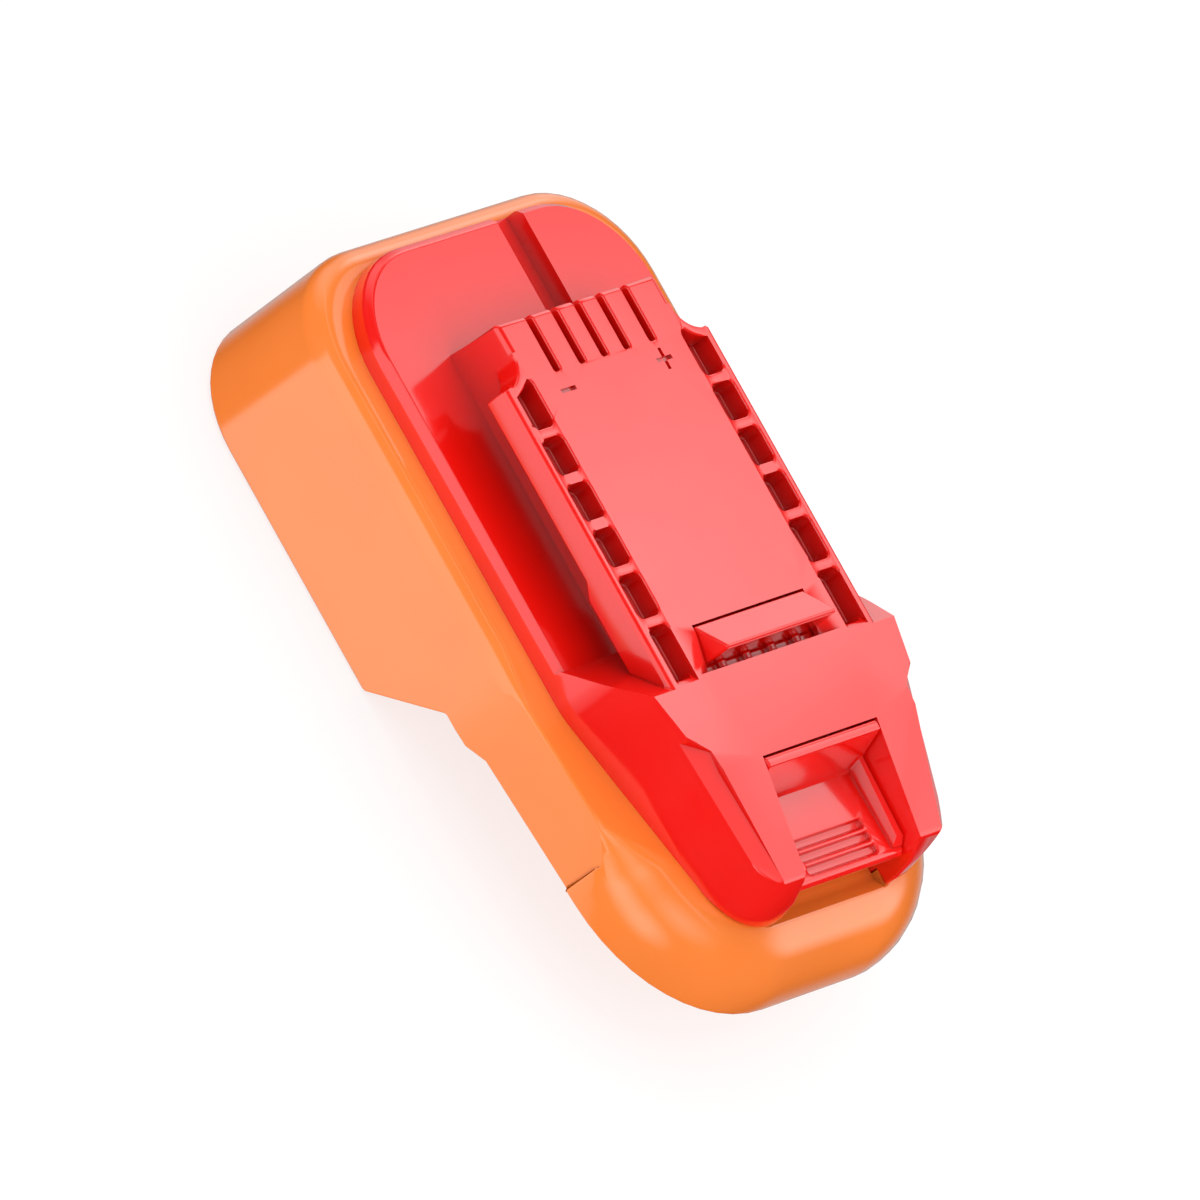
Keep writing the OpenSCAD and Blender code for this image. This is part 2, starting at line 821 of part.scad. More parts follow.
// Shelf beside a leg: the plan outline of what is cut away above it
module leg_shelf_cut() {
    narrowing = (leg_w - leg_end_w) / 2;
    run = leg_end_back - leg_step_back;
    rise = (leg_fall - leg_step + narrowing * tan(shelf_fall)) / run;
    step_run = break_back - leg_step_back;
    far = run + plate_setback;
    translate([leg_w / 2, back(leg_step_back), plate_z - leg_step])
    intersection() {
        translate([0, 0, -half_w])
        linear_extrude(2 * half_w)
        polygon([
            [shelf_start_w, step_run], [shelf_turn_w, 0], [0, -step_run], [-narrowing, -run],
            [-narrowing, -far], [half_w, -far], [half_w, step_run]]);
        rotate([atan(rise * cos(shelf_fall)), shelf_fall, 0])
        block([-half_w, -2 * far, 0], [2 * half_w, far, 2 * half_w]);
    }
}

module shoulder() {
    path = disc_path(flange_discs);
    difference() {
        intersection() {
            loft([
                ring(path, 0, platform_z - flange_chamfer),
                ring(path, shoulder_lean, plate_z)]);
            across(-half_w, half_w)
            shoulder_side_view();
        }
        both_sides()
        leg_shelf_cut();
    }
}

module contact_slots() {
    for (x = [-power_x, -signal_x, 0, signal_x, power_x])
        block(
            [x - contact_slot_w / 2, back(contact_slot_l), plate_z - contact_slot_d],
            [x + contact_slot_w / 2, plate_y + over, plate_z + over]);
}

// Rounded front edge of the plate
module front_edge_cut() {
    across(-neck_w, neck_w)
    translate([plate_y - edge_round, plate_z - edge_round])
    difference() {
        square(edge_round + over);
        circle(edge_round);
    }
}

// Everything hollow inside the cover
module cover_hollow() {
    inner_x = neck_w / 2 - neck_wall_t;
    translate([0, 0, rim_z - spigot_h - over])
    linear_extrude(platform_under_z - rim_z + spigot_h + over)
    polygon(inset(disc_path(flange_discs), seat_w + spigot_gap + skin_t));
    block(
        [-inner_x, back(break_back + over), platform_under_z - over],
        [inner_x, back(neck_wall_t), plate_under_z]);
    both_sides()
    block(
        [neck_w / 2, back(leg_step_back - skin_t), platform_under_z - over],
        [rail_w / 2, back(ramp_top_back), plate_under_z - leg_step]);
}

module latch_window() {
    block(
        [-window_w / 2, back(window_back + window_l), plate_under_z - over],
        [window_w / 2, back(window_back), plate_z + over]);
    both_sides()
    window_relief();
}

// Relief beside the window: a facet that falls towards it and widens to the rear
module window_relief() {
    x0 = window_w / 2;
    y0 = back(window_back + window_l);
    l = window_l - relief_setback;
    intersection() {
        block([x0 - over, y0, plate_under_z], [x0 + relief_w, y0 + window_l, plate_z + over]);
        translate([x0 + relief_w, y0, plate_z])
        rotate([0, 0, atan(relief_w / l)])
        rotate([0, -relief_fall, 0])
        block([-3 * relief_w, -l, 0], [0, 3 * l, skin_t]);
    }
}

module leg_slot() {
    block(
        [-leg_slot_w / 2, back(flange_rear_back + over), rim_z - spigot_h - over],
        [leg_slot_w / 2, back(break_back), plate_z + over]);
}

module key_groove() {
    block(
        [groove_x, plate_y, platform_z - groove_d],
        [groove_x + groove_w, flange_front_y + over, platform_z + over]);
}

module upper_housing() {
    color("#E80A0A")
    difference() {
        union() {
            difference() {
                union() {
                    flange();
                    spigot();
                    along(back(ramp_top_back), plate_y)
                    rail_section(neck_w, platform_z - over);
                    rails();
                    shoulder();
                }
                cover_hollow();
                front_edge_cut();
            }
            block(
                [groove_x - trough_t, plate_y - neck_wall_t, platform_z - groove_d - trough_t],
                [groove_x + groove_w + trough_t, flange_front_y - seat_w - skin_t,
                    platform_under_z]);
            for (side = [-1, 1]) {
                post(side * screw_front_x, back(screw_front_back), boss_z, platform_z - over, boss_d);
                post(side * screw_rear_x, back(screw_rear_back), boss_z, plate_under_z, boss_d);
            }
        }
        both_sides()
        rail_pockets();
        both_sides()
        last_pocket_ramp();
        contact_slots();
        latch_window();
        leg_slot();
        key_groove();
        at_housing_screws()
        post(0, 0, boss_z - over, boss_z + screw_bite + fit_gap, screw_d + fit_gap);
    }
}

// Latch

// Side view of the wedge
module wedge_side_view() {
    polygon([
        [wedge_front_y, bridge_z + over], [wedge_front_y, plate_z],
        [ridge_y + wedge_break, plate_z + wedge_h], [ridge_y, plate_z + wedge_h - wedge_break],
        [ridge_y, bridge_z + over]]);
}

// Side view of the thumb cup's front bar, floor and rear lip
module cup_floor_view() {
    y0 = bar_front_y;
    y1 = back(cup_rear_back);
    z0 = plate_z - cup_depth;
    z1 = z0 + cup_rise;
    polygon([
        [y0, plate_z - bar_break], [y0 - bar_break, plate_z], [y0 - bar_t, plate_z],
        [y0 - bar_t - bar_lean / 2, plate_z - cup_depth / 2],
        [y0 - bar_t - bar_lean, z0 + bar_foot], [y0 - bar_t - bar_lean - bar_foot, z0],
        [y1 + lip_break, z1], [y1, z1 - lip_break], [y1 + lip_break / 2, z1 - cup_floor_t],
        [y0 - bar_t, z0 - cup_floor_t], [y0, z0]]);
}

// Front view of one side wall of the thumb cup
module cup_side_view() {
    x1 = cup_w / 2;
    x0 = x1 - cup_wall_low_t;
    z0 = plate_z - cup_depth - cup_floor_t;
    z1 = plate_z - cup_side_drop;
    polygon([
        [x0, z0], [x1, z0], [x1, z1], [x1 - cup_wall_top_t, z1],
        [x0, plate_z - cup_depth + cup_wall_foot]]);
}

// Band that rises from the cup's floor to a side wall, wider at the front
module cup_band() {
    x1 = cup_w / 2 - cup_wall_low_t + over;
    z0 = plate_z - cup_depth - over;
    z1 = plate_z - cup_depth + cup_wall_foot;
    y0 = bar_front_y - bar_t;
    y1 = back(cup_rear_back) + lip_break;
    loft([
        [[cup_front_w / 2, y0, z0], [x1, y0, z0], [x1, y0, z1]],
        [[cup_floor_w / 2, y1, z0], [x1, y1, z0], [x1, y1, z1]]]);
}

// Side view that keeps the cup's side walls above the floor's underside
module cup_trim_view() {
    y0 = bar_front_y;
    y1 = back(cup_rear_back) + cup_wall_rear;
    z0 = plate_z - cup_depth - cup_floor_t;
    z1 = plate_z - cup_side_drop;
    polygon([
        [y0, z0 + over], [y0 - bar_t, z0], [y1, z0 + cup_rise],
        [y1, z1 - cup_wall_rear_drop - cup_wall_top_t],
        [y1 + cup_wall_top_t, z1 - cup_wall_rear_drop], [y0, z1]]);
}

// Grip slots in the cup's floor
module grip_slots() {
    run = cup_rear_back - break_back - bar_t - bar_lean - bar_foot - lip_break;
    l = cup_floor_w - 2 * grip_margin;
    translate([0, back(cup_rear_back) + lip_break, plate_z - cup_depth + cup_rise])
    rotate([-atan(cup_rise / run), 0, 0])
    for (i = [0 : grip_count - 1])
        translate([-l / 2, grip_setback - lip_break + i * grip_pitch, -grip_d])
        linear_extrude(2 * grip_d)
        round_rect([l, grip_w], grip_r);
}

// Latch before the grip slots are cut
module latch_body() {
    union() {
        across(-wedge_w / 2, wedge_w / 2)
        wedge_side_view();
        // Stiffening ribs behind the wedge
        for (i = [-1.5 : 1 : 1.5])
            block(
                [i * wedge_rib_pitch - wedge_rib_w / 2, ridge_y - wedge_rib_l, bridge_z],
                [i * wedge_rib_pitch + wedge_rib_w / 2, ridge_y + over, plate_z - wedge_rib_drop]);
        // Bridge under the top plate, with a tongue to the thumb cup
        block(
            [-bridge_w / 2, back(break_back - bridge_margin), bridge_z],
            [bridge_w / 2, wedge_front_y + bridge_margin, bridge_z + bridge_t]);
        block(
            [-cup_floor_w / 2, bar_front_y - over, bridge_z],
            [cup_floor_w / 2, back(break_back - 2 * bridge_margin), bridge_z + bridge_t]);
        at_springs()
        post(0, 0, bridge_z - latch_pin_h, bridge_z + over, spring_pin_d);
        across(-cup_w / 2, cup_w / 2)
        cup_floor_view();
        intersection() {
            both_sides() {
                along(back(cup_rear_back), bar_front_y)
                cup_side_view();
                cup_band();
            }
            across(-cup_w, cup_w)
            cup_trim_view();
        }
    }
}

module release_latch() {
    color("#E80A0A")
    difference() {
        latch_body();
        grip_slots();
    }
}

// Springs

spring_z0 = spring_seat_z + spring_end_gap;
spring_z1 = bridge_z - spring_end_gap;
spring_steps = 10;
wire_sides = 6;

// Middle of the wire at step k along the coil
function coil_point(k) =
    let (
        a = 360 * k / spring_steps,
        t = k / (spring_steps * spring_turns),
        r = (spring_d - wire_d) / 2
    )
    [r * cos(a), r * sin(a), spring_z0 + wire_d / 2 + (spring_z1 - spring_z0 - wire_d) * t];

function coil_ring(k) =
    let (a = 360 * k / spring_steps, c = coil_point(k))
    [for (j = [0 : wire_sides - 1])
        let (b = 360 * j / wire_sides)
        c + wire_d / 2 * [cos(b) * cos(a), cos(b) * sin(a), sin(b)]];

// Least clear gap between one turn and the next
spring_gap = min([
    for (k = [0 : spring_steps * (spring_turns - 1)])
        norm(coil_point(k + spring_steps) - coil_point(k))]) - wire_d;
echo(spring_gap = spring_gap);

module latch_spring(side) {
    n = wire_sides;
    count = spring_steps * spring_turns;
    sides = [
        for (k = [0 : count - 1], j = [0 : n - 1])
            let (a = k * n + j, d = k * n + (j + 1) % n)
            each [[a, d, d + n], [a, d + n, a + n]]];
    caps = [[for (j = [n - 1 : -1 : 0]) j], [for (j = [0 : n - 1]) count * n + j]];
    color("silver")
    translate([side * spring_x, back(spring_back), 0])
    polyhedron(points = [for (k = [0 : count]) each coil_ring(k)], faces = concat(sides, caps));
}

// Tool-side contacts

module clip_slot(x) {
    w = clip_leaf_gap + 2 * metal_t + 2 * fit_gap;
    block(
        [x - w / 2, back(clip_root_back), board_top_z - over],
        [x + w / 2, back(clip_block_back) + over, clip_top_z + fit_gap]);
}

module tool_terminal_block() {
    color("#202020")
    difference() {
        block(
            [-clip_block_w / 2, back(clip_block_back + clip_block_l), board_top_z],
            [clip_block_w / 2, back(clip_block_back), clip_block_top_z]);
        for (x = [-power_x, -signal_x, 0, signal_x, power_x])
            clip_slot(x);
    }
}

// Plan view of a fork clip: two leaves that close towards the front and flare at the tips
module clip_plan() {
    tip = back(clip_tip_back);
    root = back(clip_root_back) + fit_gap;
    inner = clip_leaf_gap / 2;
    outer = inner + metal_t;
    both_sides()
    polygon([
        [0, root], [outer, root], [outer, back(clip_block_back)],
        [outer - clip_pinch, tip - clip_tip_l], [outer + clip_flare, tip],
        [inner + clip_flare, tip], [inner - clip_pinch, tip - clip_tip_l],
        [inner, back(clip_block_back)], [inner, root + metal_t], [0, root + metal_t]]);
}

module tool_clip(x) {
    root = back(clip_root_back) + fit_gap;
    color("#D8A657")
    translate([x, 0, 0])
    union() {
        translate([0, 0, clip_top_z - clip_h])
        linear_extrude(clip_h)
        clip_plan();
        block(
            [-clip_leaf_gap / 2 - metal_t, root, board_top_z],
            [clip_leaf_gap / 2 + metal_t, root + metal_t, clip_top_z - clip_h]);
    }
}

// Circuit board and what stands on it

module circuit_board() {
    y1 = back(board_back);
    color("#1F6B3A")
    difference() {
        translate([-board_w / 2, y1 - board_l, board_z])
        linear_extrude(board_t)
        round_rect([board_w, board_l], board_r);
        at_board_screws()
        post(0, 0, board_z - over, board_top_z + over, small_screw_d + 2 * fit_gap);
    }
}

module control_chip() {
    y0 = back(board_back + board_l - chip_setback);
    leg_y0 = y0 + (chip_size.y - (chip_leg_count - 1) * chip_leg_pitch - chip_leg.y) / 2;
    color("#2B2B2B")
    translate([-chip_size.x / 2, y0, board_top_z])
    cube(chip_size);
    color("silver")
    both_sides()
    for (i = [0 : chip_leg_count - 1])
        translate([
            (chip_size.x - chip_leg.x) / 2 + chip_leg.y, leg_y0 + i * chip_leg_pitch, board_top_z])
        cube(chip_leg);
}

module power_transistors() {
    y0 = back(board_back + board_l - transistor_setback);
    color("#242424")
    for (x = [-transistor_x, transistor_x])
        translate([x - transistor_size.x / 2, y0, board_top_z])
        cube(transistor_size);
}

module filter_capacitor() {
    y0 = back(board_back + board_l - capacitor_setback);
    color("#33415C")
    post(0, y0, board_top_z, board_top_z + capacitor_h, capacitor_d);
}

// Pan-head screw with its head's underside at z = 0, pointing down
module screw(d, l, head_d, head_h) {
    translate([0, 0, -l])
    cylinder(h = l + head_h / 2, d = d);
    difference() {
        cylinder(h = head_h, d = head_d);
        translate([0, 0, head_h / 2])
        for (a = [0, 90])
            rotate([0, 0, a])
            translate([-head_d * cross_l / 2, -head_d * cross_w / 2, 0])
            cube([head_d * cross_l, head_d * cross_w, head_h]);
    }
}

module board_screws() {
    color("silver")
    at_board_screws()
    translate([0, 0, board_top_z])
    screw(small_screw_d, board_t + small_bite, small_head_d, small_head_h);
}

// Battery-side contacts

module battery_terminal_block() {
    y0 = back(blade_block_back);
    color("#202020")
    difference() {
        union() {
            block(
                [-blade_block_w / 2, y0, blade_block_z],
                [blade_block_w / 2, y0 + blade_block_l, floor_z + blade_ear_t]);
            block(
                [-blade_ear_w / 2, y0, floor_z],
                [blade_ear_w / 2, y0 + blade_block_l, floor_z + blade_ear_t]);
        }
        for (x = [-power_x, -blade_signal_x, blade_signal_x, power_x])
            translate([x, 0, 0])
            blade_body(fit_gap / 2);
        at_blade_screws()
        post(0, 0, floor_z - over, floor_z + blade_ear_t + over, small_screw_d + 2 * fit_gap);
    }
}

// Upright blade that points to the rear, with a tail that stands up to the board's level
module blade_body(gap) {
    y0 = back(blade_block_back);
    tail_y = y0 + blade_block_l - blade_end_wall;
    block(
        [-metal_t / 2 - gap, y0 - blade_l, blade_z - gap],
        [metal_t / 2 + gap, tail_y + gap, blade_z + blade_h + gap]);
    block(
        [-metal_t / 2 - gap, tail_y - blade_tail_l - gap, blade_z],
        [metal_t / 2 + gap, tail_y + gap, board_top_z]);
}

module battery_blade(x) {
    color("#D8A657")
    translate([x, 0, 0])
    blade_body(0);
}

module terminal_block_screws() {
    color("silver")
    at_blade_screws()
    translate([0, 0, floor_z + blade_ear_t])
    screw(small_screw_d, blade_ear_t + small_bite, small_head_d, small_head_h);
}

// Flat strip from a blade's tail to the board
module bus_strip(x) {
    y1 = back(blade_block_back) + blade_block_l - blade_end_wall + strip_overlap;
    color("#C77F4A")
    translate([x - strip_w / 2, back(strip_rear_back), board_top_z])
    linear_extrude(metal_t)
    round_rect([strip_w, y1 - back(strip_rear_back)], strip_r);
}

module housing_screws() {
    color("#5A5A5A")
    at_housing_screws()
    translate([0, 0, roof_z + screw_sink + screw_head_h])
    rotate([180, 0, 0])
    screw(
        screw_d, boss_z - roof_z - screw_sink - screw_head_h + screw_bite, screw_head_d, screw_head_h);
}

lower_housing();
upper_housing();
release_latch();
latch_spring(-1);  // latch_spring_left
latch_spring(1);  // latch_spring_right
tool_terminal_block();
tool_clip(-power_x);  // tool_clip_negative
tool_clip(power_x);  // tool_clip_positive
tool_clip(-signal_x);  // tool_signal_clip_left
tool_clip(0);  // tool_signal_clip_middle
tool_clip(signal_x);  // tool_signal_clip_right
circuit_board();
control_chip();
power_transistors();
filter_capacitor();
board_screws();
battery_terminal_block();
battery_blade(-power_x);  // battery_blade_negative
battery_blade(power_x);  // battery_blade_positive
for (x = [-blade_signal_x, blade_signal_x])  // battery_signal_blades
        battery_blade(x);
terminal_block_screws();
bus_strip(-power_x);  // bus_strip_negative
bus_strip(power_x);  // bus_strip_positive
housing_screws();
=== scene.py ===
"""Tool battery adapter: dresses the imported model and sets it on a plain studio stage.

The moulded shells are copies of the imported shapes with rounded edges. The springs are wound from
formulas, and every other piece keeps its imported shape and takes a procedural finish.
"""

import math

import bmesh
import bpy
import numpy as np
from bpy.props import FloatProperty, FloatVectorProperty, IntProperty, PointerProperty
from mathutils import Matrix, Vector
from mathutils.kdtree import KDTree


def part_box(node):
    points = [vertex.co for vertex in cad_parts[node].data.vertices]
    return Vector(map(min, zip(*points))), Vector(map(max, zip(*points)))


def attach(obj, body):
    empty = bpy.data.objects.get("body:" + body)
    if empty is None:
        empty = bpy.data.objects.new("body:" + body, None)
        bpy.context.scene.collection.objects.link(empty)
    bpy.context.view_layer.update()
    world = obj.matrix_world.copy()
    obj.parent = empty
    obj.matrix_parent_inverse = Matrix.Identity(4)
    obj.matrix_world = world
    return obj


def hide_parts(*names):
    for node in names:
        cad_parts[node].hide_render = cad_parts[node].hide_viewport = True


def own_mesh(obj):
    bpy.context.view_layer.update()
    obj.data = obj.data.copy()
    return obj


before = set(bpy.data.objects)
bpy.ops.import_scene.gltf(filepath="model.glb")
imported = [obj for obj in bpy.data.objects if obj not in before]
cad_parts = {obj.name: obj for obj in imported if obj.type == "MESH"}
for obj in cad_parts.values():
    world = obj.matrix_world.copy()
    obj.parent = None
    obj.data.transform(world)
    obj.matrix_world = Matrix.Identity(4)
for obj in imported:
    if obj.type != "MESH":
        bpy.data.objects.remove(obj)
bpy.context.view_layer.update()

bl_info = {
    "name": "Tool battery adapter",
    "version": (1, 0, 0),
    "blender": (4, 5, 0),
    "location": "View3D > Sidebar > Adapter",
    "description": "Builds the finished shells, springs, finishes and stage of a tool battery adapter",
    "category": "Object",
}

MM = 0.001
SQUARE = ((-1, -1), (1, -1), (1, 1), (-1, 1))
# Options of a colour node that multiplies a colour by a tone
TINT = {"data_type": "RGBA", "blend_type": "MULTIPLY"}

# Points closer than this are one point
WELD = 2e-6
# Faces that turn less than this are one flat face
FLAT = math.radians(0.5)
# Edges that turn more than this get a round
HARD = math.radians(32)
# Edges that still turn more than this afterwards shade as sharp
CREASE = math.radians(31)
# How far a round may reach from its corner, in widths of the round
REACH = 2.2
# Two sides of an outline run side by side when the area between their ways is under this
SIDE_BY_SIDE = 1e-16
# Two sides cross only when they meet this far inside both, as a share of their lengths
INSIDE = 1e-4

# The spring: turns in all, turns at each end that lie flat, and their pitch in wire widths
SPRING_TURNS = 5
FLAT_TURNS = 0.75
FLAT_PITCH = 0.35

# The stage: half the floor's side, its drop below the part, the paper's own glow and the room's light
FLOOR_HALF = 3.0
FLOOR_DROP = 0.02 * MM
PAPER_GLOW = 0.75
ROOM_LIGHT = 1.2
# The tent: its radius, the height of its middle and what its unlit cloth gives
TENT_RADIUS = 0.5
TENT_HEIGHT = 0.02
TENT_DARK = 0.006
# Lit panels of the tent: middle, inner and outer angle in degrees, and brightness
PANELS = (
    ((0.732, 0.135, 0.668), 0, 15.7, 1.8),
    ((0.76, -0.18, 0.63), 4, 12, 0.9),
    ((0.77, -0.46, 0.45), 8, 18, 1.2),
    ((0.71, 0.59, 0.39), 3, 15, 1.3),
    ((0.77, 0.62, 0.05), 3, 22, 0.9),
    ((-0.76, -0.52, 0.38), 6, 22, 1.2),
    ((-0.2, -0.5, 0.84), 4, 22, 0.8),
    ((0.3, 0.88, 0.36), 10, 30, 0.6),
    ((0.77, 0.153, -0.62), 28, 46, 0.4),
    ((0, 0, -1), 20, 38, 0.6),
)
# The strip overhead: place and half width across, middle, half length and fade along, and brightness
STRIP_X, STRIP_HALF = 0.21, 0.05
STRIP_Y, STRIP_REACH, STRIP_FADE = 0.15, 0.7, 0.2
STRIP_LEVEL = 0.9
# The panel on the left: its inner edge and fade across, and brightness at places from back to front
LEFT_EDGE, LEFT_FADE = -0.45, 0.1
LEFT_PLACES = (-0.28, -0.2, -0.04, 0.15, 0.47, 0.52)
LEFT_LEVELS = (0.0, 0.3, 0.52, 1.03, 1.03, 0.0)

# The camera: what is right and up in the picture, the point at its middle in mm, and its scale
VIEW_RIGHT = (0.60527, -0.48239, 0.63321)
VIEW_UP = (0.20163, 0.86243, 0.46429)
VIEW_MIDDLE = (-2.692, 2.101, 18.172)
PICTURE_MM = 1200 / 6.81825
LENS, SENSOR, VIEW_END = 800, 36, 50


def linear(code):
    """Turns an sRGB hex code into the linear colour that shaders take."""
    parts = np.array([int(code[i : i + 2], 16) / 255 for i in (1, 3, 5)])
    parts = np.where(parts <= 0.04045, parts / 12.92, ((parts + 0.055) / 1.055) ** 2.4)
    return (*map(float, parts), 1.0)


# ---------------------------------------------------------------- sizes and colours


def length(name, description, mm):
    """Makes a length property from a size in millimetres."""
    return FloatProperty(name=name, description=description, default=mm * MM, unit="LENGTH", precision=5)


def colour(name, description, code):
    """Makes a colour property from an sRGB hex code."""
    return FloatVectorProperty(
        name=name, description=description, default=linear(code), subtype="COLOR", size=4, min=0, max=1
    )


class AdapterSizes(bpy.types.PropertyGroup):
    """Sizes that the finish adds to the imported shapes."""

    edge_round: length("Edge round", "Width of the small rounds on moulded edges", 0.35)
    edge_steps: IntProperty(name="Edge steps", description="Faces across an edge round", default=3, min=1)
    wire_d: length("Wire diameter", "Thickness of the spring wire", 0.9)
    sign_y: length("Sign place", "How far the polarity signs lie in front of the middle", 28.4)
    sign_x: length("Sign spread", "Distance of each polarity sign from the middle", 11.6)
    sign_size: length("Sign size", "Length of a polarity sign's strokes", 3.6)
    sign_stroke: length("Sign stroke", "Width of a polarity sign's strokes", 0.7)
    sign_depth: length("Sign depth", "How deep the polarity signs are cut", 0.6)
    sign_slope: length("Sign slope", "How far the sides of a polarity sign lean in", 0.05)


class AdapterColours(bpy.types.PropertyGroup):
    """Colours of the finishes."""

    orange: colour("Orange", "Body colour of the lower shell", "#FF8533")
    red: colour("Red", "Body colour of the cover and the latch", "#FA120A")
    black: colour("Black", "Insulating blocks", "#1C1C1E")
    steel: colour("Steel", "Spring wire", "#B4B7BB")
    zinc: colour("Zinc", "Plated screws", "#A9ACAF")
    brass: colour("Brass", "Stamped clips and blades", "#D2A457")
    copper: colour("Copper", "Rolled strips", "#C87B52")
    mask: colour("Solder mask", "Coating of the circuit board", "#17552F")
    resin: colour("Resin", "Chip and transistor bodies", "#242528")
    sleeve: colour("Sleeve", "Shrunk sleeve of the capacitor", "#2F3D5A")
    track: colour("Track", "Solder mask over a copper track", "#2C7A48")
    tin: colour("Tin", "Tinned legs of the chip", "#C8CACC")
    pale_resin: colour("Pale resin", "Flow lines in a transistor body", "#2E2F33")
    can: colour("Can", "Bare top of the capacitor", "#C4C6C9")
    floor: colour("Floor", "Share of the studio paper's white that shows shadow", "#8A8A8A")


def sizes():
    return bpy.context.scene.adapter_sizes


def colours():
    return bpy.context.scene.adapter_colours


# ---------------------------------------------------------------- finishes


def fill(tree, node, inputs):
    """Sets or links inputs of a shader node by name or number."""
    for key, value in inputs.items():
        if isinstance(value, bpy.types.NodeSocket):
            tree.links.new(value, node.inputs[key])
        else:
            node.inputs[key].default_value = value


def add(tree, kind, inputs, out=0, **options):
    """Adds one shader node with its options and inputs, and returns one of its outputs."""
    node = tree.nodes.new(kind)
    for key, value in options.items():
        setattr(node, key, value)
    fill(tree, node, inputs)
    return node.outputs[out]


def begin(name):
    """Starts a material, and returns it with its tree, its surface node and the place on the piece."""
    material = bpy.data.materials.new(name)
    material.use_nodes = True
    tree = material.node_tree
    return material, tree, tree.nodes["Principled BSDF"], add(tree, "ShaderNodeTexCoord", {}, "Object")


def blots(tree, place, mm, low, high, detail=2.0, stretch=(1, 1, 1)):
    """Cloudy blots about mm wide, drawn out along an axis by stretch, whose value runs from low to high."""
    scale = [1 / (mm * MM * s) for s in stretch]
    place = add(tree, "ShaderNodeMapping", {"Vector": place, "Scale": scale})
    cloud = add(tree, "ShaderNodeTexNoise", {"Vector": place, "Scale": 1.0, "Detail": detail})
    span = {"Value": cloud, "From Min": 0.3, "From Max": 0.7, "To Min": low, "To Max": high}
    return add(tree, "ShaderNodeMapRange", span)


def moulded_plastic(name, base, rough):
    """Moulded ABS: body colour with a slow drift of tone, painted shade in its recesses, patchy gloss and a
    fine mould grain.
    """
    material, tree, surface, place = begin(name)
    drift = blots(tree, place, 22, 0.95, 1.03)
    # Painted shade: points that their own piece closes in are darkened, deeper than the light alone shades
    # recesses
    reach = {"Distance": 12 * MM}
    open_share = add(tree, "ShaderNodeAmbientOcclusion", reach, "AO", samples=6, only_local=True)
    painted_recess_shade = add(tree, "ShaderNodeMapRange", {"Value": open_share, "From Min": 0.2, "To Min": 0.58})
    # The tone is the random drift times the painted recess shade
    tone = add(tree, "ShaderNodeMath", {0: drift, 1: painted_recess_shade}, operation="MULTIPLY")
    # The real spark grain is about 0.05 mm wide, and is drawn coarser so that a picture can show it
    grain = blots(tree, place, 0.5, 0, 1, 3.0)
    look = {
        "Base Color": add(tree, "ShaderNodeMix", {0: 1.0, 6: base, 7: tone}, 2, **TINT),
        "Roughness": blots(tree, place, 7, rough * 0.85, rough * 1.2),
        "IOR": 1.54,
        "Coat Weight": 1.0,
        "Coat Roughness": rough * 0.6,
        "Coat IOR": 1.7,
        "Normal": add(tree, "ShaderNodeBump", {"Height": grain, "Distance": 0.0016 * MM, "Strength": 0.5}),
    }
    fill(tree, surface, look)
    return material


def glass_filled_plastic():
    """Matt black PBT with pale fibre flecks, so that it reads as an insulator and not as a hole."""
    material, tree, surface, place = begin("black_glass_filled_plastic")
    fleck = blots(tree, place, 0.5, 0, 1, 4.0, (1, 4, 1))
    tone = blots(tree, place, 0.5, 0.8, 1.7, 4.0, (1, 4, 1))
    look = {
        "Base Color": add(tree, "ShaderNodeMix", {0: 1.0, 6: colours().black, 7: tone}, 2, **TINT),
        "Roughness": blots(tree, place, 0.5, 0.42, 0.6, 4.0, (1, 4, 1)),
        "IOR": 1.57,
        "Normal": add(tree, "ShaderNodeBump", {"Height": fleck, "Distance": 0.004 * MM, "Strength": 0.4}),
    }
    fill(tree, surface, look)
    return material


def metal(name, base, rough, grain_mm, stretch):
    """Metal with drawn or rolled grain along one axis, faint stains and a dull film that spreads light."""
    material, tree, surface, place = begin(name)
    stain = blots(tree, place, 5, 0.86, 1.06)
    grain = blots(tree, place, grain_mm, 0, 1, 3.0, stretch)
    look = {
        "Base Color": add(tree, "ShaderNodeMix", {0: 1.0, 6: base, 7: stain}, 2, **TINT),
        "Roughness": blots(tree, place, grain_mm, rough * 0.75, rough * 1.35, 3.0, stretch),
        "Metallic": 0.65,
        "Normal": add(tree, "ShaderNodeBump", {"Height": grain, "Distance": 0.0024 * MM, "Strength": 0.5}),
    }
    fill(tree, surface, look)
    return material


def drawn_wire():
    """Spring wire with die lines that run along it, read from the wire's own length and turn."""
    material, tree, surface, _ = begin("drawn_spring_wire")
    own = add(tree, "ShaderNodeUVMap", {}, uv_map="wire")
    own = add(tree, "ShaderNodeVectorMath", {0: own, 1: (MM, MM, MM)}, operation="MULTIPLY")
    lines = blots(tree, own, 1, 0.85, 1.08, 3.0, (0.08, 0.11, 1))
    look = {
        "Base Color": add(tree, "ShaderNodeMix", {0: 1.0, 6: colours().steel, 7: lines}, 2, **TINT),
        "Roughness": blots(tree, own, 1, 0.2, 0.42, 3.0, (0.08, 0.11, 1)),
        "Metallic": 1.0,
        "Normal": add(tree, "ShaderNodeBump", {"Height": lines, "Distance": 0.01 * MM, "Strength": 0.5}),
    }
    fill(tree, surface, look)
    return material


